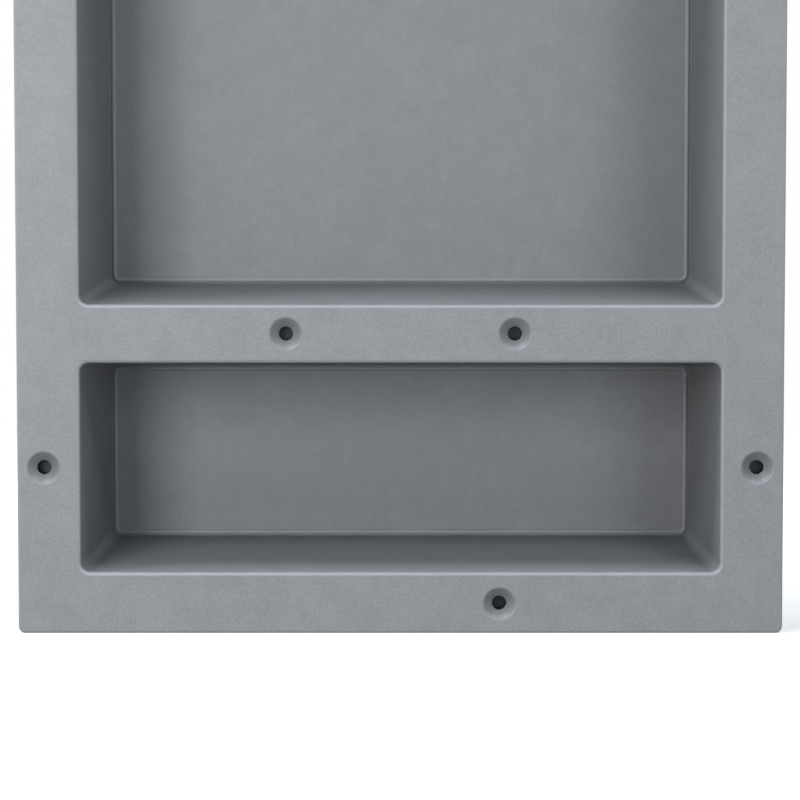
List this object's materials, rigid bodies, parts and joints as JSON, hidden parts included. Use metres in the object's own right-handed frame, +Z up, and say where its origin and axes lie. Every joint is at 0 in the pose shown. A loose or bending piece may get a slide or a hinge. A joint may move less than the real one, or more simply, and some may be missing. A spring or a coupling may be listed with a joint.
{
  "type": "shower niche insert",
  "caption": "Recessed shower niche moulded in one piece: a tall compartment over a low shelf compartment, framed by a flat flange with countersunk screw recesses, for tiling over.",
  "frame": {"origin": "middle of the flange's back plane, the plane that bears on the wall studs: half-way across the width and half-way up the height", "axes": "+Z up the wall, +Y into the wall, from the tile side to the rear of the compartments, +X to the right as seen from the room"},
  "size_m": [0.4064, 0.1016, 0.508],
  "materials": {
    "moulded_foam": "matte grey rigid structural plastic as it leaves the mould, with a fine even grain that takes tile adhesive"
  },
  "bodies": {
    "root": {"niche_insert": "moulded_foam"}
  },
  "joints": []
}
